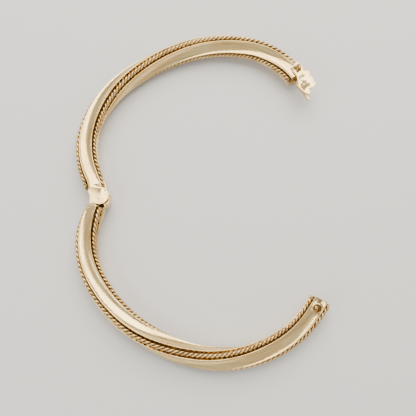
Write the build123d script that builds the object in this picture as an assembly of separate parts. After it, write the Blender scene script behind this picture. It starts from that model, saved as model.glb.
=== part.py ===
from build123d import *
import math
import os

# A hinged bangle of hollow gold tube, lying open on its side.
# Units are millimetres and degrees. +Z is up, +Y is the top of the photograph.
# Lengths along a half run from its hinge end to its clasp end.

# Layout of the two halves
AXIS_HEIGHT = 3.37  # centre of the tube above the surface
PIN_X = -27.79
PIN_Y = -2.02
UPPER_HEADING = 113.2  # direction of each centreline where it leaves the pin
LOWER_HEADING = -114.6
END_FACE_SLANT = 4.0  # the clasp ends lean this far off the line to the pin
HINGE_FACE_SLANT = 22.0  # the hinge ends are cut level with each other, which leans them off square
SLANT_FADE = 9.0  # over this length the sections turn back square to the centreline

# The centreline of each half is a chain of tangent arcs that starts at the pin
ARC_TABLE = [
    # (upper_length, lower_length, upper_radius, lower_radius)
    (8.0, 8.0, 150.0, 37.6),
    (14.0, 14.0, 22.1, 20.9),
    (18.0, 18.0, 31.0, 36.8),
    (20.0, 20.0, 48.3, 40.8),
    (18.0, 18.0, 37.4, 32.6),
    (12.0, 12.0, 21.0, 29.0),
    (6.0, 6.8, 28.5, 33.8),
]

# How far the section has turned toward the wrist, one third of a turn or a little more in each half
TURN_TABLE = [
    # (distance, upper_turn, lower_turn)
    (3.5, 0.0, -28.0),
    (7.0, 9.0, -20.0),
    (16.0, -2.0, -2.0),
    (28.0, -20.0, 11.0),
    (40.0, -42.0, 27.0),
    (52.0, -62.0, 56.0),
    (64.0, -78.0, 78.0),
    (76.0, -90.0, 102.0),
    (86.0, -103.0, 111.0),
    (93.5, -120.0, 120.0),
]

# Tube section: three channelled faces between three rope grooves
FACES = 3
FACE_DISTANCE = 2.44  # centre of the tube to the edge of a channel
CHANNEL_HALF_WIDTH = 1.50
CHANNEL_DEPTH = 0.34
FLAT_DEPTH = 0.03  # what is left of the channel at the ends
RIM_APEX = (1.74, 2.51)  # across and out, measured from the face centreline
RIM_FOOT = (1.72, 2.24)
GROOVE_SHOULDER = (0.52, 2.29)  # across and out, measured from the groove centreline
GROOVE_BOTTOM = 2.13
CAVITY_FACE = (1.0, 1.84)
CAVITY_GROOVE = 1.72

# Stations of the lofts along a half
STATIONS = 25
STATION_SPACE = 1.5  # stations nearer than this to a loft's own ends are left out
CHANNEL_FADE = 5.0  # the channels run out into flat metal over this length at each end

# Rope wires in the grooves
ROPE_DISTANCE = 2.80
ROPE_RADIUS = 0.56
ROPE_END_GAP = 0.35  # the ropes stop this far short of the tube's ends
ROPE_LUG_GAP = 0.30  # and this much further from the upper half's lugs
ROPE_BLOCK_GAP = 3.45  # the upper half's outer rope stops where the clasp block begins

# Hinge
UPPER_START = 3.15  # the tube of each half starts this far from the pin
LOWER_START = 1.95
END_WALL = 0.9  # closes the hinge ends
LUG_TOP = 2.46  # heights here are measured from the tube's centre
LUG_INNER = 1.58
LUG_UNDER = 2.10  # depth of the lower lug's outer face
LUG_RADIUS = 2.45
LUG_CENTRE = (-0.80, 0.55)  # along, out of the hinge end, and across toward the wrist
LUG_ROOT = [
    # (along, across)
    (-4.2, -1.3),
    (-3.3, -1.9),
    (-0.8, -1.9),
    (-0.8, 3.0),
    (-1.5, 2.9),
    (-1.9, 1.6),
    (-4.0, 1.3),
]
DRUM_RADIUS = 2.75
DRUM_HALF_HEIGHT = 1.45
DRUM_CLEARANCE = 0.14
LUG_CLEARANCE = 0.18
CLOSED_ANGLE = 57.0  # the lugs' way in the lower half is cut from the open to the closed pose
OPEN_ANGLE = -10.0
WAY_STEPS = 5
PIN_RADIUS = 0.38
PIN_CLEARANCE = 0.03
PIN_RECESS = 0.03
PIN_SLOT = (0.22, 0.20)  # width and depth of the slot in its head
COLLAR_THICKNESS = 0.40  # a plain band at the lower half's hinge end
COLLAR_RADIUS = 3.05

# Clasp plate on the upper half: along the tube past its end, across toward the outside
PLATE_TOP = 3.25
PLATE_BOTTOM = 2.80
PLATE_OUTLINE = [
    # (along, across)
    (-2.7, -0.1),
    (-3.2, 2.5),
    (-1.4, 2.85),
    (0.05, 2.15),
    (0.5, 2.66),
    (0.92, 3.4),
    (1.68, 3.48),
    (2.26, 2.89),
    (3.6, 3.13),
    (4.4, 2.75),
    (5.67, 2.83),
    (5.9, 1.35),
    (5.5, 0.2),
    (6.83, -0.15),
    (7.0, -0.87),
    (5.8, -1.7),
    (3.4, -2.1),
    (0.3, -0.4),
]
PLATE_EDGE_ROUND = 0.16
BLOCK_OUTLINE = [
    # (along, across)
    (-2.7, -0.1),
    (-3.2, 2.5),
    (-1.4, 2.85),
    (0.0, 2.15),
    (0.0, -0.35),
]
BLOCK_BOTTOM = 0.9
POCKET_OUTLINE = [
    # (along, across)
    (-2.40, 0.12),
    (-2.10, 2.36),
    (-1.47, 2.42),
    (-0.35, 1.70),
    (-0.38, 0.30),
]
POCKET_BOTTOM = 1.25
DIAMOND_CENTRE = (1.28, 0.30)
DIAMOND_HALF = 0.56
SLOT_CENTRE = (2.85, 0.45)
SLOT_LENGTH = 1.5
SLOT_WIDTH = 0.40
SLOT_TURN = 52.0
DOME_CENTRE = (3.85, -0.45)
DOME_RADIUS = 1.0
DOME_HEIGHT = 0.45
TONGUE_SIZE = (4.5, 1.0, 0.3)  # length from the cap wall, width and thickness of the strip under the plate
TONGUE_ACROSS = 0.05
TONGUE_BOTTOM = 0.65
CAP_DEPTH = 1.1  # the upper half's clasp end is hollow this deep, down to the cap wall
CAP_WALL = 0.6

# Spring leaf of the clasp, which slides into the lower half's open end
LEAF_LENGTH = 7.6
LEAF_ROOT = 1.5  # its root sits this far inside the tube's end, in the cap wall
LEAF_ACROSS = -0.85
LEAF_THICKNESS = 0.42
LEAF_TOP = 0.35
LEAF_BOTTOM = -0.75
LEAF_TURN = -1.6  # toward the wrist
LEAF_SEAT = 0.04  # space round the leaf's root in its slot

# Catch in the top of the lower half: a ringed cup with a small stud and a hole in its floor
CATCH_FROM_END = 2.6
CATCH_ACROSS = 0.05
CATCH_RADIUS = 1.15
CATCH_RING_RADIUS = 1.45
CATCH_RING_RISE = 0.08
CUP_BOTTOM = 1.25
CUP_FLOOR = 1.55
STUD_PLACE = (0.05, -0.30)
STUD_RADIUS = 0.50
STUD_TOP = 2.45
CUP_HOLE_PLACE = (0.0, 0.62)
CUP_HOLE_RADIUS = 0.40


def unit(angle):
    """Direction at an angle in degrees in the XY plane."""
    return Vector(math.cos(math.radians(angle)), math.sin(math.radians(angle)), 0)


class Half:
    """Centreline of one half of the bangle and the planes that stand on it.

    side is 1 for the upper half, which runs clockwise from the pin, and -1 for the lower half.
    """

    def __init__(self, side, heading, start):
        self.side = side
        self.start = start
        column = 0 if side > 0 else 1
        arcs = []
        place = Vector(PIN_X, PIN_Y, AXIS_HEIGHT)
        travel = unit(heading)
        for row in ARC_TABLE:
            length = row[column]
            radius = row[column + 2]
            arcs.append(JernArc(place, travel, radius, -side * math.degrees(length / radius)))
            place = arcs[-1] @ 1
            travel = arcs[-1] % 1
        self.route = Wire(arcs)
        self.turns = [(row[0], row[column + 1]) for row in TURN_TABLE]
        self.length = self.route.length
        self.to_pin = (self.route @ 0 - self.route @ 1).normalized()

    def slant_at(self, distance):
        """How far the section leans off square near the hinge end, for its wrist side to start first."""
        share = max(distance - self.start, 0.0) / SLANT_FADE
        return HINGE_FACE_SLANT * max(1 - share, 0.0)

    def inward(self, share):
        """Level direction toward the wrist at a share of the centreline."""
        travel = self.route % share
        return Vector(travel.Y, -travel.X, 0) * self.side

    def cross_plane(self, distance):
        """Plane across the tube at a distance from the pin: x toward the wrist, y up."""
        share = min(distance / self.length, 1.0)
        x_dir = self.inward(share).rotate(Axis.Z, -self.slant_at(distance) * self.side)
        if share == 1.0:
            x_dir = self.to_pin.rotate(Axis.Z, END_FACE_SLANT * self.side)
        return Plane(origin=self.route @ share, x_dir=x_dir, z_dir=x_dir.cross(Vector(0, 0, 1)))

    def level_plane(self, at_clasp):
        """Level plane at the tube's centre with x along the tube, out of the clasp end or the hinge end."""
        share = 1.0 if at_clasp else 0.0
        out = (self.route % share) * (1 if at_clasp else -1)
        return Plane(origin=self.route @ share, x_dir=out, z_dir=(0, 0, 1))

    def turn_at(self, distance):
        """How far the section has turned toward the wrist at a distance from the pin."""
        held = min(max(distance, self.turns[0][0]), self.turns[-1][0])
        for (first, first_turn), (last, last_turn) in zip(self.turns, self.turns[1:]):
            if held <= last:
                share = (held - first) / (last - first)
                return first_turn + share * (last_turn - first_turn)

    def stations(self, first, last):
        """Distances from the pin of a loft's sections between two others."""
        distances = [first]
        for number in range(STATIONS):
            distance = self.start + number * (self.length - self.start) / (STATIONS - 1)
            if first + STATION_SPACE < distance < last - STATION_SPACE:
                distances.append(distance)
        return distances + [last]

    def channel_depth(self, distance):
        """Depth of the channels, which run out toward both ends."""
        room = min(distance - self.start, self.length - distance)
        return max(FLAT_DEPTH, CHANNEL_DEPTH * min(room / CHANNEL_FADE, 1.0))


def polar(turn, across, out):
    """Section point given across and out from a direction at an angle from straight up toward the wrist."""
    angle = math.radians(turn)
    toward_wrist = across * math.cos(angle) + out * math.sin(angle)
    up = out * math.cos(angle) - across * math.sin(angle)
    return (toward_wrist, up)


def tube_wire(plane, turn, channel_depth):
    """Closed outline of the tube: three channels with raised rims and three grooves."""
    edges = []
    step = 360 / FACES
    for face in range(FACES):
        mid = turn + face * step
        groove = mid + step / 2
        channel_start = polar(mid, -CHANNEL_HALF_WIDTH, FACE_DISTANCE)
        channel_mid = polar(mid, 0, FACE_DISTANCE - channel_depth)
        channel_end = polar(mid, CHANNEL_HALF_WIDTH, FACE_DISTANCE)
        foot = polar(mid, *RIM_FOOT)
        shoulder = polar(groove, -GROOVE_SHOULDER[0], GROOVE_SHOULDER[1])
        far_shoulder = polar(groove, *GROOVE_SHOULDER)
        next_foot = polar(mid + step, -RIM_FOOT[0], RIM_FOOT[1])
        next_apex = polar(mid + step, -RIM_APEX[0], RIM_APEX[1])
        next_start = polar(mid + step, -CHANNEL_HALF_WIDTH, FACE_DISTANCE)
        edges.append(ThreePointArc(channel_start, channel_mid, channel_end))
        edges.append(ThreePointArc(channel_end, polar(mid, *RIM_APEX), foot))
        edges.append(Line(foot, shoulder))
        edges.append(ThreePointArc(shoulder, polar(groove, 0, GROOVE_BOTTOM), far_shoulder))
        edges.append(Line(far_shoulder, next_foot))
        edges.append(ThreePointArc(next_foot, next_apex, next_start))
    return plane * Wire(edges)


def cavity_wire(plane, turn):
    """Closed outline of the hollow inside the tube."""
    edges = []
    step = 360 / FACES
    for face in range(FACES):
        mid = turn + face * step
        start = polar(mid, -CAVITY_FACE[0], CAVITY_FACE[1])
        end = polar(mid, *CAVITY_FACE)
        next_start = polar(mid + step, -CAVITY_FACE[0], CAVITY_FACE[1])
        edges.append(Line(start, end))
        edges.append(ThreePointArc(end, polar(mid + step / 2, 0, CAVITY_GROOVE), next_start))
    return plane * Wire(edges)


def hollow_tube(half, cavity_end):
    """The twisted tube of one half, closed at the hinge end."""
    outer = []
    for distance in half.stations(half.start, half.length):
        depth = half.channel_depth(distance)
        outer.append(tube_wire(half.cross_plane(distance), half.turn_at(distance), depth))
    inner = []
    for distance in half.stations(half.start + END_WALL, cavity_end):
        inner.append(cavity_wire(half.cross_plane(distance), half.turn_at(distance)))
    return Solid.make_loft(outer) - Solid.make_loft(inner)


def rope(half, number, end_gap):
    """Plain round wire that lies in one groove of a half."""
    wires = []
    for distance in half.stations(half.start + first_gap(half), half.length - end_gap):
        centre = polar(half.turn_at(distance) + (number - 0.5) * 360 / FACES, 0, ROPE_DISTANCE)
        wires.append(half.cross_plane(distance) * Pos(*centre) * Wire.make_circle(ROPE_RADIUS))
    return Solid.make_loft(wires)


def first_gap(half):
    """How far the ropes start from the tube's hinge end."""
    return ROPE_END_GAP + (COLLAR_THICKNESS if half.side < 0 else ROPE_LUG_GAP)


def slab(outline, bottom, top):
    """Level plate between two heights above the tube's centre."""
    return extrude(Pos(0, 0, bottom) * outline, top - bottom)


def post(radius, bottom, top):
    """Upright cylinder on the pin or hole that the plane stands at, between two heights."""
    return slab(Circle(radius), bottom, top)


def outline_sketch(table, side):
    """Flat shape from a table of places along the tube and across it to the outside."""
    return make_face(Polyline(*[(along, across * side) for along, across in table], close=True))


def lug_disc(extra, angle=0.0):
    """Round end of the lugs, made larger all round and turned about the pin."""
    return Rot(0, 0, angle) * Pos(*LUG_CENTRE) * Circle(LUG_RADIUS + extra)


def upper_hinge(level):
    """Two lugs with round ends that hold the pin."""
    lug = outline_sketch(LUG_ROOT, 1) + lug_disc(0)
    return level * (slab(lug, LUG_INNER, LUG_TOP) + slab(lug, -LUG_UNDER, -LUG_INNER))


def lug_way(upper):
    """Room that the lugs sweep between the open and the closed pose, above and below the middle knuckle."""
    plane = upper.level_plane(False)
    room = None
    for number in range(WAY_STEPS):
        turn = OPEN_ANGLE + number * (CLOSED_ANGLE - OPEN_ANGLE) / (WAY_STEPS - 1)
        disc = lug_disc(LUG_CLEARANCE, -turn)
        for bottom, top in ((DRUM_HALF_HEIGHT, AXIS_HEIGHT + 1), (-AXIS_HEIGHT - 1, -DRUM_HALF_HEIGHT)):
            piece = slab(disc, bottom, top)
            room = piece if room is None else room + piece
    return plane * room


def drum(level):
    """Middle knuckle of the hinge, part of the lower half."""
    return level * post(DRUM_RADIUS, -DRUM_HALF_HEIGHT, DRUM_HALF_HEIGHT)


def collar(half):
    """Plain band that covers the ends of the lower half's ropes at the hinge."""
    plane = half.cross_plane(half.start + COLLAR_THICKNESS / 2)
    return plane * Cylinder(COLLAR_RADIUS, COLLAR_THICKNESS)


def clasp_plate(half):
    """Pierced lobed plate on a block at the clasp end of the upper half."""
    level = half.level_plane(True)
    plate = slab(outline_sketch(PLATE_OUTLINE, half.side), PLATE_BOTTOM, PLATE_TOP)
    plate = fillet(plate.edges().group_by(Axis.Z)[-1], PLATE_EDGE_ROUND)
    length, width, thickness = TONGUE_SIZE
    tongue = Rectangle(length, width, align=(Align.MIN, Align.CENTER))
    tongue = fillet(tongue.vertices().group_by(Axis.X)[-1], width * 0.35)
    tongue = Pos(-CAP_DEPTH - CAP_WALL / 2, TONGUE_ACROSS * half.side) * tongue
    block = slab(outline_sketch(BLOCK_OUTLINE, half.side), BLOCK_BOTTOM, PLATE_BOTTOM + PLATE_EDGE_ROUND)
    dome = Pos(DOME_CENTRE[0], DOME_CENTRE[1] * half.side, PLATE_TOP) * Sphere(DOME_RADIUS)
    dome = Pos(0, 0, DOME_HEIGHT - DOME_RADIUS) * dome
    dome = dome - Pos(0, 0, PLATE_BOTTOM + PLATE_EDGE_ROUND - 5) * Box(40, 40, 10)
    return level * (plate + block + dome + slab(tongue, TONGUE_BOTTOM, TONGUE_BOTTOM + thickness))


def clasp_piercing(half):
    """What is cut out of the clasp plate: a pocket, a diamond and a slot."""
    level = half.level_plane(True)
    pocket = slab(outline_sketch(POCKET_OUTLINE, half.side), POCKET_BOTTOM, PLATE_TOP + 1)
    diamond_side = DIAMOND_HALF * math.sqrt(2)
    diamond = Rot(0, 0, 45) * Rectangle(diamond_side, diamond_side)
    slot = Rot(0, 0, SLOT_TURN) * SlotOverall(SLOT_LENGTH, SLOT_WIDTH)
    cut = pocket
    for centre, hole in ((DIAMOND_CENTRE, diamond), (SLOT_CENTRE, slot)):
        place = Pos(centre[0], centre[1] * half.side)
        cut = cut + slab(place * hole, PLATE_BOTTOM - 0.1, PLATE_TOP + 1)
    return level * cut


def leaf_place(half):
    """Where the root of the spring leaf stands in the upper half's end wall."""
    root = Pos(-LEAF_ROOT, LEAF_ACROSS * half.side) * Rot(0, 0, -LEAF_TURN * half.side)
    return half.level_plane(True) * root


def spring_leaf(half):
    """Flat leaf on edge that slides into the lower half."""
    leaf = Rectangle(LEAF_LENGTH + LEAF_ROOT, LEAF_THICKNESS, align=(Align.MIN, Align.CENTER))
    leaf = fillet(leaf.vertices().group_by(Axis.X)[-1], LEAF_THICKNESS * 0.45)
    return leaf_place(half) * slab(leaf, LEAF_BOTTOM, LEAF_TOP)


def leaf_slot(half):
    """Slot in the end wall that the root of the leaf sits in."""
    slot = Pos(-LEAF_SEAT) * Rectangle(
        CAP_DEPTH, LEAF_THICKNESS + 2 * LEAF_SEAT, align=(Align.MIN, Align.CENTER)
    )
    return leaf_place(half) * slab(slot, LEAF_BOTTOM - LEAF_SEAT, LEAF_TOP + LEAF_SEAT)


def upper_band(half):
    """Upper tube with its hinge lugs and the block, tongue and plate of the clasp."""
    hinge_level = half.level_plane(False)
    band = hollow_tube(half, half.length - CAP_DEPTH - CAP_WALL)
    mouth = []
    for distance in (half.length - CAP_DEPTH, half.length):
        mouth.append(cavity_wire(half.cross_plane(distance), half.turn_at(distance)))
    band = band - Solid.make_loft(mouth)
    band = band - hinge_level * post(DRUM_RADIUS + DRUM_CLEARANCE, -LUG_INNER, LUG_INNER)
    band = band + upper_hinge(hinge_level) + clasp_plate(half)
    band = band - clasp_piercing(half) - leaf_slot(half)
    return band - hinge_level * post(PIN_RADIUS + PIN_CLEARANCE, -AXIS_HEIGHT, AXIS_HEIGHT)


def catch(half):
    """Ringed cup of the catch, with its stud, and what is cut out of the tube for it."""
    level = half.level_plane(True) * Pos(-CATCH_FROM_END, CATCH_ACROSS * half.side)
    cup = post(CATCH_RING_RADIUS, CUP_BOTTOM, FACE_DISTANCE + CATCH_RING_RISE)
    cup = cup - post(CATCH_RADIUS, CUP_FLOOR, AXIS_HEIGHT + 1)
    stud = post(STUD_RADIUS, CUP_BOTTOM, STUD_TOP)
    stud = fillet(stud.edges().group_by(Axis.Z)[-1], STUD_RADIUS * 0.7)
    cup = cup + Pos(STUD_PLACE[0], STUD_PLACE[1] * half.side) * stud
    hole = Pos(CUP_HOLE_PLACE[0], CUP_HOLE_PLACE[1] * half.side) * post(CUP_HOLE_RADIUS, 0, CUP_FLOOR + 0.1)
    return level * (cup - hole), level * post(CATCH_RADIUS, 0, AXIS_HEIGHT + 1)


def lower_band(half, upper):
    """Lower tube with its collar, the middle knuckle and the catch."""
    hinge_level = half.level_plane(False)
    band = hollow_tube(half, half.length + CAP_WALL) + collar(half) - lug_way(upper)
    band = band + drum(hinge_level)
    band = band - hinge_level * post(PIN_RADIUS + PIN_CLEARANCE, -AXIS_HEIGHT, AXIS_HEIGHT)
    cup, opening = catch(half)
    return band - opening + cup


def hinge_pin():
    """Pin of the hinge, with a slot across its head."""
    top = LUG_TOP - PIN_RECESS
    width, depth = PIN_SLOT
    pin = post(PIN_RADIUS, -LUG_UNDER + PIN_RECESS, top) - slab(Rectangle(2 * PIN_RADIUS + 1, width), top - depth, top + 1)
    return Pos(PIN_X, PIN_Y, AXIS_HEIGHT) * pin


def build():
    """All the nodes by name."""
    upper = Half(1, UPPER_HEADING, UPPER_START)
    lower = Half(-1, LOWER_HEADING, LOWER_START)
    nodes = {
        "upper_band": upper_band(upper),
        "lower_band": lower_band(lower, upper),
        "hinge_pin": hinge_pin(),
        "clasp_leaf": spring_leaf(upper),
    }
    for number in range(FACES):
        end_gap = ROPE_BLOCK_GAP if number == 1 else ROPE_END_GAP
        nodes[f"upper_rope_{number + 1}"] = rope(upper, number, end_gap)
        nodes[f"lower_rope_{number + 1}"] = rope(lower, number, ROPE_END_GAP)
    return nodes


os.makedirs("parts", exist_ok=True)
for node, shape in build().items():
    export_step(shape, f"parts/{node}.step")
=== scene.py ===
"""Dresses the hinged bangle of hollow yellow gold tube and lights it for its picture."""
import logging
import math
from dataclasses import dataclass, field
from enum import Enum

import bmesh
import bpy
import numpy
from mathutils import Matrix, Vector


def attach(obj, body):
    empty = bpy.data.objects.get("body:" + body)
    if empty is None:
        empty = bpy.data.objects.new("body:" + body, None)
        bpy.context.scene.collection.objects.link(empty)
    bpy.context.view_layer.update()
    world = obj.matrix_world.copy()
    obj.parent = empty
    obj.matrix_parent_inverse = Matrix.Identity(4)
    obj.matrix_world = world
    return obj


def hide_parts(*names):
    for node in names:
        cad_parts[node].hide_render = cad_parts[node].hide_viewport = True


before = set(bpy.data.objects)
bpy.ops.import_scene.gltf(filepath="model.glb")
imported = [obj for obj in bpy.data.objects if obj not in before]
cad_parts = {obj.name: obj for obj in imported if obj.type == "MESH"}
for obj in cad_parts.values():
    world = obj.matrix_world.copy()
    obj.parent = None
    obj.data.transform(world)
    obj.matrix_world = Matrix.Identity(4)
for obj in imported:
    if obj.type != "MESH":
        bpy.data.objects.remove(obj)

log = logging.getLogger("bangle")
MM = 0.001
UP = Vector((0.0, 0.0, 1.0))

# Layout of the two halves, in millimetres, as the part's source has it
AXIS_HEIGHT = 3.37
PIN_PLACE = (-27.79, -2.02)
ARC_TABLE = (
    # (upper_length, lower_length, upper_radius, lower_radius)
    (8.0, 8.0, 150.0, 37.6),
    (14.0, 14.0, 22.1, 20.9),
    (18.0, 18.0, 31.0, 36.8),
    (20.0, 20.0, 48.3, 40.8),
    (18.0, 18.0, 37.4, 32.6),
    (12.0, 12.0, 21.0, 29.0),
    (6.0, 6.8, 28.5, 33.8),
)
TURN_TABLE = (
    # (distance, upper_turn, lower_turn), in degrees toward the wrist
    (3.5, 0.0, -28.0),
    (7.0, 9.0, -20.0),
    (16.0, -2.0, -2.0),
    (28.0, -20.0, 11.0),
    (40.0, -42.0, 27.0),
    (52.0, -62.0, 56.0),
    (64.0, -78.0, 78.0),
    (76.0, -90.0, 102.0),
    (86.0, -103.0, 111.0),
    (93.5, -120.0, 120.0),
)
GROOVES = 3
HINGE_FACE_SLANT = 22.0  # degrees off square, where the hinge ends are cut level with each other
SLANT_FADE = 9.0  # distance from the tube's start over which the slant dies out
SHARP_ANGLE = 38.0  # degrees between two faces from which their edge stays sharp

# What each rope leaves free of its half's centreline: (at the tube's start, at the far end)
UPPER_ROPE_GAPS = ((0.65, 0.35), (0.65, 3.45), (0.65, 0.35))
LOWER_ROPE_GAPS = ((0.75, 0.35), (0.75, 0.35), (0.75, 0.35))

# The camera looks down on the bangle from the lower edge of the picture, in millimetres and degrees
CAMERA_AIM = (2.35, -4.14, 3.37)
CAMERA_TILT = 12.0
CAMERA_DISTANCE = 150.0
CAMERA_CLIP = 5.0
PICTURE_WIDTH = 116.06

RELIEF_DEPTH = 0.05  # of dents, streaks and paper grain, in millimetres

# Vertex attributes that the finishes read
STRAIGHT = "straight"  # place along, across and above the half's centreline
SHADE_AND_TARNISH = "shade_and_tarnish"  # share of painted shade, with some tarnish


class Side(Enum):
    """Which half of the bangle a piece belongs to, and how that half runs from the pin."""

    UPPER = "upper"
    LOWER = "lower"

    @property
    def turn(self) -> int:
        """1 where the half runs clockwise from the pin, -1 where it runs the other way."""
        return 1 if self is Side.UPPER else -1

    @property
    def heading(self) -> float:
        """Direction in degrees in which the centreline leaves the pin."""
        return 113.2 if self is Side.UPPER else -114.6

    @property
    def column(self) -> int:
        """Where the half's entries stand in the rows of the tables."""
        return 0 if self is Side.UPPER else 1

    @property
    def start(self) -> float:
        """Distance in millimetres from the pin at which the tube starts."""
        return 3.15 if self is Side.UPPER else 1.95

    @property
    def rope_gaps(self) -> tuple[tuple[float, float], ...]:
        """What the half's three ropes leave free at their two ends, in millimetres."""
        return UPPER_ROPE_GAPS if self is Side.UPPER else LOWER_ROPE_GAPS


def linear(code: str) -> tuple[float, float, float, float]:
    """Linear colour of an sRGB hex code.

    Args:
        code: six hex digits.

    Returns:
        Red, green, blue and alpha for a shader socket.
    """
    parts = [int(code[place:place + 2], 16) / 255 for place in (0, 2, 4)]
    red, green, blue = [p / 12.92 if p <= 0.04045 else ((p + 0.055) / 1.055) ** 2.4 for p in parts]
    return (red, green, blue, 1.0)


def add_node(
    tree: bpy.types.NodeTree, kind: str, inputs: dict | None = None, **settings: object
) -> bpy.types.Node:
    """Adds a shader node with its settings and links.

    Args:
        tree: the node tree that it goes into.
        kind: the node's Blender type.
        inputs: for each input, by name or number, a value or the output socket that feeds it.
        **settings: properties of the node.

    Returns:
        The new node.
    """
    node = tree.nodes.new(kind)
    for name, value in settings.items():
        setattr(node, name, value)
    for name, value in (inputs or {}).items():
        if isinstance(value, bpy.types.NodeSocket):
            tree.links.new(value, node.inputs[name])
        else:
            node.inputs[name].default_value = value
    return node


def new_material(name: str) -> bpy.types.Material:
    """Adds a material whose node tree is empty.

    Args:
        name: the material's name.

    Returns:
        The new material.
    """
    made = bpy.data.materials.new(name)
    made.use_nodes = True
    made.node_tree.nodes.clear()
    return made


def noise(
    tree: bpy.types.NodeTree,
    place: bpy.types.NodeSocket,
    size: float,
    detail: float,
    roughness: float = 0.5,
) -> bpy.types.NodeSocket:
    """Adds a noise pattern.

    Args:
        tree: the node tree that it goes into.
        place: the coordinates that it follows, in metres.
        size: millimetres from one patch to the next.
        detail: how many finer layers it has.
        roughness: weight of the finer layers.

    Returns:
        The pattern, which is 0.5 on average.
    """
    inputs = {"Vector": place, "Scale": 1 / (size * MM), "Detail": detail, "Roughness": roughness}
    return add_node(tree, "ShaderNodeTexNoise", inputs).outputs["Fac"]


def remap(
    tree: bpy.types.NodeTree,
    value: bpy.types.NodeSocket,
    source: tuple[float, float],
    target: tuple[float, float] = (0.0, 1.0),
    curve: str = "LINEAR",
) -> bpy.types.NodeSocket:
    """Moves a value from one range to another and holds it at the ends.

    Args:
        tree: the node tree.
        value: the value.
        source: the range that it is taken from.
        target: the range that it is moved to.
        curve: the kind of interpolation.

    Returns:
        The moved value.
    """
    limits = {"From Min": source[0], "From Max": source[1], "To Min": target[0], "To Max": target[1]}
    inputs = {"Value": value, **limits}
    return add_node(tree, "ShaderNodeMapRange", inputs, interpolation_type=curve).outputs["Result"]


def mix(
    tree: bpy.types.NodeTree, share: bpy.types.NodeSocket, first: object, second: object
) -> bpy.types.NodeSocket:
    """Mixes two colours.

    Args:
        tree: the node tree.
        share: the second colour's share.
        first: a colour or the socket that gives it.
        second: a colour or the socket that gives it.

    Returns:
        The mixed colour.
    """
    return add_node(tree, "ShaderNodeMix", {0: share, 6: first, 7: second}, data_type="RGBA").outputs[2]


def bump(
    tree: bpy.types.NodeTree,
    height: bpy.types.NodeSocket,
    strength: float,
    below: bpy.types.NodeSocket | None = None,
) -> bpy.types.NodeSocket:
    """Adds a relief RELIEF_DEPTH deep that only shades.

    Args:
        tree: the node tree.
        height: the relief's pattern.
        strength: how much of the relief shows.
        below: normal of the relief that this one lies on, if there is one.

    Returns:
        The bumped normal.
    """
    inputs = {"Height": height, "Strength": strength, "Distance": RELIEF_DEPTH * MM}
    if below is not None:
        inputs["Normal"] = below
    return add_node(tree, "ShaderNodeBump", inputs).outputs["Normal"]


@dataclass
class Route:
    """Centreline of one half: a chain of tangent arcs that starts at the pin."""

    side: Side
    pieces: list = field(default_factory=list)
    length: float = 0.0

    def __post_init__(self) -> None:
        """Lays the arcs end to end."""
        place = Vector((PIN_PLACE[0], PIN_PLACE[1], 0.0))
        angle = math.radians(self.side.heading)
        for row in ARC_TABLE:
            length, radius = row[self.side.column], row[self.side.column + 2]
            self.pieces.append((self.length, place.copy(), angle, radius))
            place, angle = self._along(place, angle, radius, length)
            self.length += length

    def _along(self, place: Vector, angle: float, radius: float, distance: float) -> tuple[Vector, float]:
        """Place and direction after a distance on an arc."""
        bend = -self.side.turn * distance / radius
        middle = angle + bend / 2
        chord = math.copysign(2 * radius * math.sin(abs(bend) / 2), distance)
        return place + Vector((math.cos(middle), math.sin(middle), 0.0)) * chord, angle + bend

    def at(self, distance: float) -> tuple[Vector, Vector, Vector]:
        """Place, direction of travel and direction toward the wrist at a distance from the pin.

        Args:
            distance: millimetres from the pin.

        Returns:
            Three vectors, the place in millimetres and two unit vectors.
        """
        first, place, angle, radius = [row for row in self.pieces if row[0] <= max(distance, 0.0)][-1]
        place, angle = self._along(place, angle, radius, distance - first)
        travel = Vector((math.cos(angle), math.sin(angle), 0.0))
        inward = Vector((travel.y, -travel.x, 0.0)) * self.side.turn
        return place + Vector((0.0, 0.0, AXIS_HEIGHT)), travel, inward

    def slant(self, distance: float) -> float:
        """Degrees that the section leans off square at a distance from the pin, near the hinge end."""
        share = max(distance - self.side.start, 0.0) / SLANT_FADE
        return HINGE_FACE_SLANT * max(1.0 - share, 0.0)

    def section_turn(self, distance: float | numpy.ndarray) -> float | numpy.ndarray:
        """Degrees that the tube's section has turned toward the wrist at one or more distances."""
        distances = [row[0] for row in TURN_TABLE]
        turns = [row[self.side.column + 1] for row in TURN_TABLE]
        return numpy.interp(distance, distances, turns)


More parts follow.
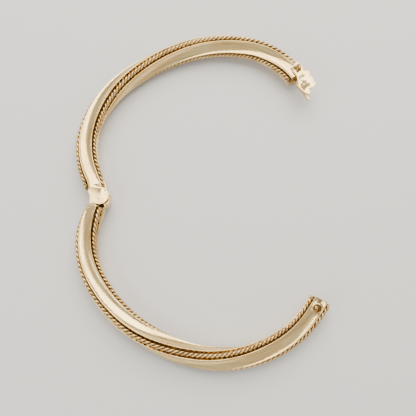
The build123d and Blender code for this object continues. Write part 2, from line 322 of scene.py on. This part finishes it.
@dataclass
class RopeWires:
    """Round wires twisted together, in one groove of a half, in millimetres."""

    route: Route
    number: int
    first: float
    last: float
    from_centre: float = 2.80
    strands: int = 2
    strand_radius: float = 0.30
    strand_offset: float = 0.27
    pitch: float = 2.56
    steps_per_turn: int = 16
    wire_sides: int = 10
    end_trim: float = 0.12
    weld_gap: float = 0.01

    def build(self) -> bpy.types.Object:
        """Twists the rope out straight, then bends it along its groove.

        Returns:
            The rope's object, with painted shade and some tarnish that grow toward the line where its wires
            touch.
        """
        mesh = self._straight()
        bmesh.ops.recalc_face_normals(mesh, faces=mesh.faces)
        # Painted shade, with some tarnish: a share that grows toward the line where the wires touch, in the
        # crevice between them.
        shade_and_tarnish = mesh.verts.layers.float.new(SHADE_AND_TARNISH)
        reach = self.strand_offset + self.strand_radius
        for vert in mesh.verts:
            vert[shade_and_tarnish] = 1.0 - min(math.hypot(vert.co.y, vert.co.z) / reach, 1.0)
            vert.co = self._bent(vert.co) * MM
        return finished_piece(mesh, f"{self.route.side.value}_rope_{self.number + 1}_wires")

    def _straight(self) -> bmesh.types.BMesh:
        """The rope on a straight axis: one turn, doubled until it is long enough, then cut."""
        mesh = bmesh.new()
        for strand in range(self.strands):
            self._add_turn(mesh, strand)
        length = self.pitch
        while length < self.last - self.first:
            copied = bmesh.ops.duplicate(mesh, geom=mesh.verts[:] + mesh.edges[:] + mesh.faces[:])["geom"]
            verts = [item for item in copied if isinstance(item, bmesh.types.BMVert)]
            bmesh.ops.translate(mesh, vec=(length, 0.0, 0.0), verts=verts)
            length *= 2
        bmesh.ops.remove_doubles(mesh, verts=mesh.verts, dist=self.weld_gap)
        for place, outward in ((self.first + self.end_trim, -1.0), (self.last, 1.0)):
            bmesh.ops.bisect_plane(
                mesh,
                geom=mesh.verts[:] + mesh.edges[:] + mesh.faces[:],
                plane_co=(place, 0.0, 0.0),
                plane_no=(outward, 0.0, 0.0),
                clear_outer=True,
            )
        bmesh.ops.holes_fill(mesh, edges=[edge for edge in mesh.edges if edge.is_boundary], sides=0)
        return mesh

    def _add_turn(self, mesh: bmesh.types.BMesh, strand: int) -> None:
        """Spins one turn of a strand from a circle, left-handed, along a straight axis."""
        slope = math.atan(2 * math.pi * self.strand_offset / self.pitch)
        stand = (
            Matrix.Rotation(2 * math.pi * strand / self.strands, 4, "X")
            @ Matrix.Translation((self.first, 0.0, self.strand_offset))
            @ Matrix.Rotation(slope, 4, "Z")
            @ Matrix.Rotation(math.pi / 2, 4, "Y")
        )
        ring = bmesh.ops.create_circle(
            mesh, cap_ends=False, segments=self.wire_sides, radius=self.strand_radius, matrix=stand
        )["verts"]
        bmesh.ops.spin(
            mesh,
            geom=ring + list({edge for vert in ring for edge in vert.link_edges}),
            cent=(0.0, 0.0, 0.0),
            axis=(-1.0, 0.0, 0.0),
            dvec=(self.pitch / self.steps_per_turn, 0.0, 0.0),
            angle=2 * math.pi,
            steps=self.steps_per_turn,
            use_merge=False,
        )

    def _bent(self, point: Vector) -> Vector:
        """Place in millimetres on the bangle of a point of the straight rope."""
        place, _, inward = self.route.at(point.x)
        side_turn = self.route.side.turn
        groove = math.radians(self.route.section_turn(point.x) + (self.number - 0.5) * 360 / GROOVES)
        lean = -self.route.slant(point.x) * side_turn
        inward = Matrix.Rotation(math.radians(lean), 3, "Z") @ inward
        toward_wrist = self.from_centre * math.sin(groove) - point.y * side_turn
        return place + inward * toward_wrist + UP * (self.from_centre * math.cos(groove) + point.z)


def finished_piece(mesh: bmesh.types.BMesh, name: str) -> bpy.types.Object:
    """Turns a bmesh into a smooth-shaded object in the scene.

    Args:
        mesh: the shape, in metres, in place.
        name: the piece's name.

    Returns:
        The linked object.
    """
    data = bpy.data.meshes.new(name)
    mesh.to_mesh(data)
    mesh.free()
    data.shade_smooth()
    data.set_sharp_from_angle(angle=math.radians(SHARP_ANGLE))
    piece = bpy.data.objects.new(name, data)
    bpy.context.scene.collection.objects.link(piece)
    return piece


@dataclass(frozen=True)
class GoldFinish:
    """Yellow gold of 14 carat, polished by hand and then worn, with sizes in millimetres.

    It gives warm champagne highlights, tan where it mirrors the room and brown where it mirrors itself,
    with brown painted shade where a piece has shares of it.
    A range of two numbers is the part of a pattern over which an effect grows from none to full.
    """

    name: str
    polished: str = "f9dd9c"
    worn: str = "efcb88"
    # Brown of the tarnish spots, and of the painted shade in grooves and crevices.
    shade_and_tarnish: str = "66461f"
    streak: str = "a8854c"
    smooth: float = 0.13
    rough: float = 0.26
    patch_size: float = 6.0  # from one handled patch to the next
    patch_range: tuple[float, float] = (0.35, 0.7)
    streak_share: float = 0.55
    streak_space: float = 0.75  # from one tan streak to the next
    streak_range: tuple[float, float] = (0.46, 0.66)
    streak_relief: float = 0.5
    line_space: float = 0.16  # polishing lines, drawn coarser than the real 0.02 so that they show
    line_range: tuple[float, float] = (0.3, 0.7)
    line_rough: tuple[float, float] = (-0.04, 0.05)  # what the lines add to the roughness
    stretch: float = 0.03  # width of a streak or line as a share of its length
    dent_size: float = 2.6
    dent_relief: float = 0.35
    lined: bool = False  # patterns run along the tube, from the piece's straight coordinates
    # Painted shade, with some tarnish, where a piece has its own shares; tarnish spots where it has none.
    shade_and_tarnish_range: tuple[float, float] | None = None  # of the piece's own shares, where it has them
    shade_and_tarnish_share: float = 0.85
    tarnish_rough: float = 0.3
    ragged: float = 0.5  # how far the patches fray the edge of the painted shade and tarnish
    spot_range: tuple[float, float] = (0.62, 0.8)  # of the patches, on pieces without shares
    spot_share: float = 0.35

    def material(self) -> bpy.types.Material:
        """Builds the finish as a material.

        Returns:
            The node material.
        """
        made = new_material(self.name)
        tree = made.node_tree
        place = self._place(tree)
        inputs = {"Vector": place, "Scale": (self.stretch, 1.0, 1.0)}
        stretched = add_node(tree, "ShaderNodeMapping", inputs, vector_type="POINT").outputs["Vector"]
        patches = noise(tree, place, self.patch_size, detail=4.0, roughness=0.55)
        dents = noise(tree, place, self.dent_size, detail=1.0)
        lines = noise(tree, stretched, self.line_space, detail=2.0, roughness=0.6)
        streaks = noise(tree, stretched, self.streak_space, detail=3.0, roughness=0.6)
        wear = remap(tree, patches, self.patch_range, curve="SMOOTHSTEP")
        # Tarnish spots, or on pieces with shares, painted shade in their grooves, crevices and inside.
        tarnish_and_painted_shade = self._tarnish_and_painted_shade(tree, patches)
        relief = bump(tree, dents, self.dent_relief)
        surface = {
            "Base Color": self._colour(tree, wear, streaks, tarnish_and_painted_shade),
            "Metallic": 1.0,
            "Roughness": self._roughness(tree, wear, lines, tarnish_and_painted_shade),
            "Normal": bump(tree, streaks, self.streak_relief, relief),
        }
        gold = add_node(tree, "ShaderNodeBsdfPrincipled", surface)
        add_node(tree, "ShaderNodeOutputMaterial", {"Surface": gold.outputs["BSDF"]})
        return made

    def _place(self, tree: bpy.types.NodeTree) -> bpy.types.NodeSocket:
        """Coordinates that the patterns read: along the tube where the piece has them."""
        if self.lined:
            return add_node(tree, "ShaderNodeAttribute", attribute_name=STRAIGHT).outputs["Vector"]
        return add_node(tree, "ShaderNodeTexCoord").outputs["Object"]

    def _colour(
        self,
        tree: bpy.types.NodeTree,
        wear: bpy.types.NodeSocket,
        streaks: bpy.types.NodeSocket,
        tarnish_and_painted_shade: bpy.types.NodeSocket,
    ) -> bpy.types.NodeSocket:
        """Polished gold, worn in patches, with tan streaks and then the tarnish and painted shade over it.
        """
        colour = mix(tree, wear, linear(self.polished), linear(self.worn))
        streaked = remap(tree, streaks, self.streak_range, (0.0, self.streak_share))
        colour = mix(tree, streaked, colour, linear(self.streak))
        # Brown over the gold: tarnish spots, and painted shade where the piece has shares.
        return mix(tree, tarnish_and_painted_shade, colour, linear(self.shade_and_tarnish))

    def _roughness(
        self,
        tree: bpy.types.NodeTree,
        wear: bpy.types.NodeSocket,
        lines: bpy.types.NodeSocket,
        tarnish_and_painted_shade: bpy.types.NodeSocket,
    ) -> bpy.types.NodeSocket:
        """Rougher where the gold is worn, lined, tarnished or painted with shade."""
        worn = remap(tree, wear, (0.0, 1.0), (self.smooth, self.rough))
        lined = remap(tree, lines, self.line_range, self.line_rough)
        rough = add_node(tree, "ShaderNodeMath", {0: worn, 1: lined}, operation="ADD").outputs[0]
        return add_node(
            tree, "ShaderNodeMath", {0: tarnish_and_painted_shade, 1: self.tarnish_rough, 2: rough},
            operation="MULTIPLY_ADD", use_clamp=True,
        ).outputs[0]

    def _tarnish_and_painted_shade(self, tree: bpy.types.NodeTree, patches: bpy.types.NodeSocket) -> bpy.types.NodeSocket:
        """How much tarnish and painted shade lie at a point: painted shade with some tarnish by the piece's
        own shares, or else tarnish in a few spots.
        """
        if self.shade_and_tarnish_range is None:
            return remap(tree, patches, self.spot_range, (0.0, self.spot_share))
        # Painted shade: the piece's shares darken its grooves, crevices and inside, frayed by the patches.
        shares = add_node(tree, "ShaderNodeAttribute", attribute_name=SHADE_AND_TARNISH).outputs["Fac"]
        frayed = add_node(
            tree, "ShaderNodeMath", {0: patches, 1: self.ragged, 2: shares}, operation="MULTIPLY_ADD"
        ).outputs[0]
        low, high = [limit + self.ragged / 2 for limit in self.shade_and_tarnish_range]
        return remap(tree, frayed, (low, high), (0.0, self.shade_and_tarnish_share))


@dataclass
class Half:
    """One half of the bangle: its tube and the three ropes in its grooves, in millimetres."""

    side: Side
    groove_half_width: float = 1.15  # painted shade and tarnish lie nearer to a groove's middle line than this
    groove_fade: float = 0.35
    rim_height: float = 2.72  # and nearer to the centreline than this
    rim_fade: float = 0.15
    inside_reach: float = 2.0  # and all round the centreline, inside the tube
    inside_fade: float = 0.2
    weld_gap: float = 0.0005
    probe_space: float = 0.25  # between the places of the centreline that points are matched with
    probe_reach: tuple[float, float] = (4.0, 8.0)  # how far they go on, behind the pin and past the end
    chunk: int = 2000  # points that are matched at a time
    route: Route = field(init=False)

    def __post_init__(self) -> None:
        """Lays the centreline."""
        self.route = Route(self.side)

    def build(self, tube_gold: bpy.types.Material, rope_gold: bpy.types.Material) -> None:
        """Builds and dresses the half.

        Args:
            tube_gold: finish of the tube.
            rope_gold: finish of the ropes.
        """
        self._hand_over(self._tube(), tube_gold, f"{self.side.value}_band")
        for number, (first, last) in enumerate(self.side.rope_gaps):
            start, end = self.side.start + first, self.route.length - last
            wires = RopeWires(self.route, number, start, end).build()
            self._hand_over(wires, rope_gold, f"{self.side.value}_rope_{number + 1}")

    def _hand_over(self, piece: bpy.types.Object, gold: bpy.types.Material, node: str) -> None:
        """Gives a piece its finish and puts it in the place of its CAD node."""
        piece.data.materials.clear()
        piece.data.materials.append(gold)
        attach(piece, f"{self.side.value}_half")
        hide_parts(node)
        log.info("%s: %d faces", piece.name, len(piece.data.polygons))

    def _tube(self) -> bpy.types.Object:
        """Copies the tube, its shape kept, and notes its straight coordinates and its shares of painted
        shade and tarnish.
        """
        mesh = bmesh.new()
        mesh.from_mesh(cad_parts[f"{self.side.value}_band"].data)
        bmesh.ops.remove_doubles(mesh, verts=mesh.verts, dist=self.weld_gap * MM)
        piece = finished_piece(mesh, f"{self.side.value}_tube")
        straight = self._coordinates(piece.data)
        along = piece.data.attributes.new(STRAIGHT, "FLOAT_VECTOR", "POINT")
        along.data.foreach_set("vector", straight.ravel())
        # Painted shade, with some tarnish: shares that darken the walls beside the ropes and the inside of
        # the tube.
        shares = piece.data.attributes.new(SHADE_AND_TARNISH, "FLOAT", "POINT")
        shares.data.foreach_set("value", self._shade_and_tarnish_shares(straight))
        return piece

    def _coordinates(self, data: bpy.types.Mesh) -> numpy.ndarray:
        """Place of each point along, across and above the centreline, in metres."""
        before, past = self.probe_reach
        distances = numpy.arange(-before, self.route.length + past, self.probe_space)
        rows = [self.route.at(float(distance)) for distance in distances]
        places = numpy.array([row[0] for row in rows]) * MM
        travels = numpy.array([row[1] for row in rows])
        inwards = numpy.array([row[2] for row in rows])
        points = numpy.empty(len(data.vertices) * 3)
        data.vertices.foreach_get("co", points)
        points = points.reshape(-1, 3)
        straight = numpy.empty_like(points)
        for first in range(0, len(points), self.chunk):
            part = slice(first, first + self.chunk)
            gaps = points[part, None, :2] - places[None, :, :2]
            nearest = (gaps ** 2).sum(axis=2).argmin(axis=1)
            off = points[part] - places[nearest]
            straight[part, 0] = distances[nearest] * MM + (off * travels[nearest]).sum(axis=1)
            straight[part, 1] = (off * inwards[nearest]).sum(axis=1)
            straight[part, 2] = off[:, 2]
        return straight

    def _shade_and_tarnish_shares(self, straight: numpy.ndarray) -> numpy.ndarray:
        """Share of painted shade, with some tarnish, at each point: full on the walls beside the ropes and
        inside the tube, where shade falls.
        """
        distance, toward_wrist, up = (straight / MM).T
        reach = numpy.hypot(toward_wrist, up)
        step = 360 / GROOVES
        from_face = numpy.degrees(numpy.arctan2(toward_wrist, up)) - self.route.section_turn(distance)
        from_groove = numpy.radians(from_face % step - step / 2)
        across, out = numpy.abs(reach * numpy.sin(from_groove)), reach * numpy.cos(from_groove)
        in_groove = numpy.clip((self.groove_half_width - across) / self.groove_fade, 0, 1)
        under_rim = numpy.clip((self.rim_height - out) / self.rim_fade, 0, 1)
        inside = numpy.clip((self.inside_reach - reach) / self.inside_fade, 0, 1)
        # Painted shade in the grooves under the rims and all round inside the tube.
        return numpy.maximum(in_groove * under_rim, inside)


@dataclass(frozen=True)
class SoftBox:
    """A square lamp that points at the bangle, in metres and watts."""

    name: str
    place: tuple[float, float, float]
    size: float
    power: float
    colour: str

    def build(self) -> None:
        """Hangs the lamp."""
        lamp = bpy.data.lights.new(self.name, "AREA")
        lamp.size = self.size
        lamp.energy = self.power
        lamp.color = linear(self.colour)[:3]
        box = bpy.data.objects.new(self.name, lamp)
        box.location = self.place
        box.rotation_euler = (-Vector(self.place)).to_track_quat("-Z", "Y").to_euler()
        bpy.context.scene.collection.objects.link(box)


@dataclass(frozen=True)
class Studio:
    """Pale floor, soft light from the top of the picture and the camera."""

    floor_size: float = 1.2  # metres
    paper: str = "dcdcda"
    paper_rough: float = 0.75
    grain_size: float = 1 / 0.9  # millimetres
    grain_relief: float = 0.1
    boxes: tuple[SoftBox, ...] = (
        SoftBox("key", (0.04, 0.30, 0.42), 0.55, 5.5, "fff6ea"),
        SoftBox("fill", (-0.40, -0.20, 0.35), 0.30, 0.8, "eef3ff"),
    )
    room: str = "e9e6e0"
    room_strength: float = 1.0

    def build(self) -> None:
        """Builds the floor, lights and camera."""
        self.floor()
        for box in self.boxes:
            box.build()
        self.sky()
        self.camera()

    def floor(self) -> None:
        """A sheet of pale matt paper under the bangle."""
        mesh = bmesh.new()
        bmesh.ops.create_grid(mesh, x_segments=1, y_segments=1, size=self.floor_size / 2)
        sheet = finished_piece(mesh, "floor")
        paper = new_material("matt_paper")
        tree = paper.node_tree
        place = add_node(tree, "ShaderNodeTexCoord").outputs["Object"]
        grain = noise(tree, place, self.grain_size, detail=3.0)
        surface = {
            "Base Color": linear(self.paper),
            "Roughness": self.paper_rough,
            "Normal": bump(tree, grain, self.grain_relief),
        }
        matt = add_node(tree, "ShaderNodeBsdfPrincipled", surface)
        add_node(tree, "ShaderNodeOutputMaterial", {"Surface": matt.outputs["BSDF"]})
        sheet.data.materials.append(paper)

    def sky(self) -> None:
        """Even light from all round, as from the pale walls of a room."""
        world = bpy.data.worlds.new("studio")
        bpy.context.scene.world = world
        world.use_nodes = True
        tree = world.node_tree
        tree.nodes.clear()
        inputs = {"Color": linear(self.room), "Strength": self.room_strength}
        glow = add_node(tree, "ShaderNodeBackground", inputs)
        add_node(tree, "ShaderNodeOutputWorld", {"Surface": glow.outputs["Background"]})

    def camera(self) -> None:
        """The photograph's camera."""
        lens = bpy.data.cameras.new("camera")
        lens.angle = 2 * math.atan(PICTURE_WIDTH / 2 / CAMERA_DISTANCE)
        lens.clip_start = CAMERA_CLIP * MM
        tilt = math.radians(CAMERA_TILT)
        aim = Vector(CAMERA_AIM)
        view = bpy.data.objects.new("camera", lens)
        view.location = (aim + Vector((0.0, -math.sin(tilt), math.cos(tilt))) * CAMERA_DISTANCE) * MM
        view.rotation_euler = (tilt, 0.0, 0.0)
        bpy.context.scene.collection.objects.link(view)
        bpy.context.scene.camera = view


def dress(name: str, gold: bpy.types.Material) -> None:
    """Gives a CAD node that stays as it is its finish."""
    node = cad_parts[name]
    node.data.materials.clear()
    node.data.materials.append(gold)
    log.info("%s: dressed", name)


def main() -> None:
    """Builds the bangle's pieces in order, then the studio."""
    logging.basicConfig(level=logging.INFO, format="%(name)s %(message)s")
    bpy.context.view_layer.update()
    # The tube and rope finishes paint shade, with some tarnish, into their grooves and crevices from their
    # shares.
    tube_gold = GoldFinish("polished_tube_gold", lined=True, shade_and_tarnish_range=(0.3, 0.95))
    rope_gold = GoldFinish("twisted_wire_gold", polished="f2d294", worn="dfba7c", shade_and_tarnish_range=(0.15, 0.6))
    leaf_gold = GoldFinish("satin_leaf_gold", smooth=0.22, rough=0.36)
    pin_gold = GoldFinish("filed_pin_gold", polished="edd092", worn="d3ae70", smooth=0.2, rough=0.4)
    tube, rope, leaf, pin = [gold.material() for gold in (tube_gold, rope_gold, leaf_gold, pin_gold)]
    for side in Side:
        Half(side).build(tube, rope)
    dress("clasp_leaf", leaf)
    dress("hinge_pin", pin)
    Studio().build()


if __name__ == "__main__":
    main()
